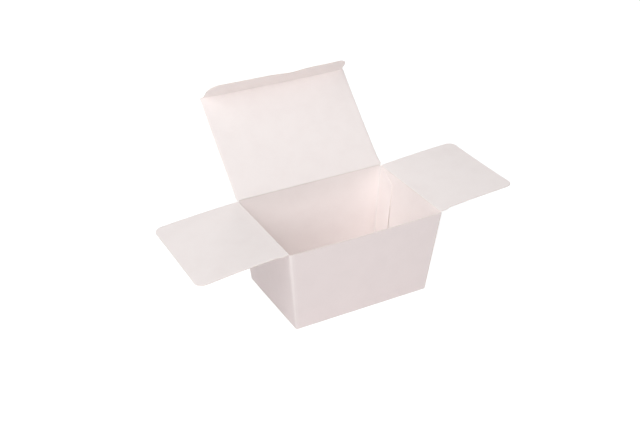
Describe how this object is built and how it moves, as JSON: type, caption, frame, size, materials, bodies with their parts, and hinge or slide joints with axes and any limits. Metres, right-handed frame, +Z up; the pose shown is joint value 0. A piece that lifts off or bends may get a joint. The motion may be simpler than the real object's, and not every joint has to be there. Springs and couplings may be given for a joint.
{
  "type": "praline box",
  "caption": "Open tapered folding carton of white paperboard for pralines, with a hinged lid, a tuck on the lid's edge and end flaps.",
  "frame": {"origin": "on the table, under the middle of the box's base", "axes": "+Z up, +X along the long side to the right end flap, +Y to the back wall that carries the lid"},
  "size_m": [0.2261, 0.1287, 0.1225],
  "materials": {
    "white_card": "smooth coated white board, faintly glossy outside and matt inside"
  },
  "bodies": {
    "carton": {"carton_body": "white_card"},
    "left_flap": {"left_end_flap": "white_card"},
    "right_flap": {"right_end_flap": "white_card"},
    "lid": {"lid_panel": "white_card"},
    "tuck": {"tuck_flap": "white_card"}
  },
  "joints": [
    {"name": "left_flap_fold", "type": "hinge", "parent": "carton", "child": "left_flap", "pos_m": [-0.0547, 0, 0.0593], "axis": [0, -1, 0], "range_deg": [-186.2, 35]},
    {"name": "right_flap_fold", "type": "hinge", "parent": "carton", "child": "right_flap", "pos_m": [0.0547, 0, 0.0593], "axis": [0, 1, 0], "range_deg": [-176, 44]},
    {"name": "lid_fold", "type": "hinge", "parent": "carton", "child": "lid", "pos_m": [0, 0.03727, 0.06], "axis": [-1, 0, 0], "range_deg": [-136.7, 73.3]},
    {"name": "tuck_fold", "type": "hinge", "parent": "lid", "child": "tuck", "pos_m": [0, 0.09109, 0.11071], "axis": [-1, 0, 0], "range_deg": [-10.3, 5.57]}
  ],
  "couplings": [
    {"joint": "tuck_fold", "follows": "lid_fold", "ratio": 0.07534}
  ]
}
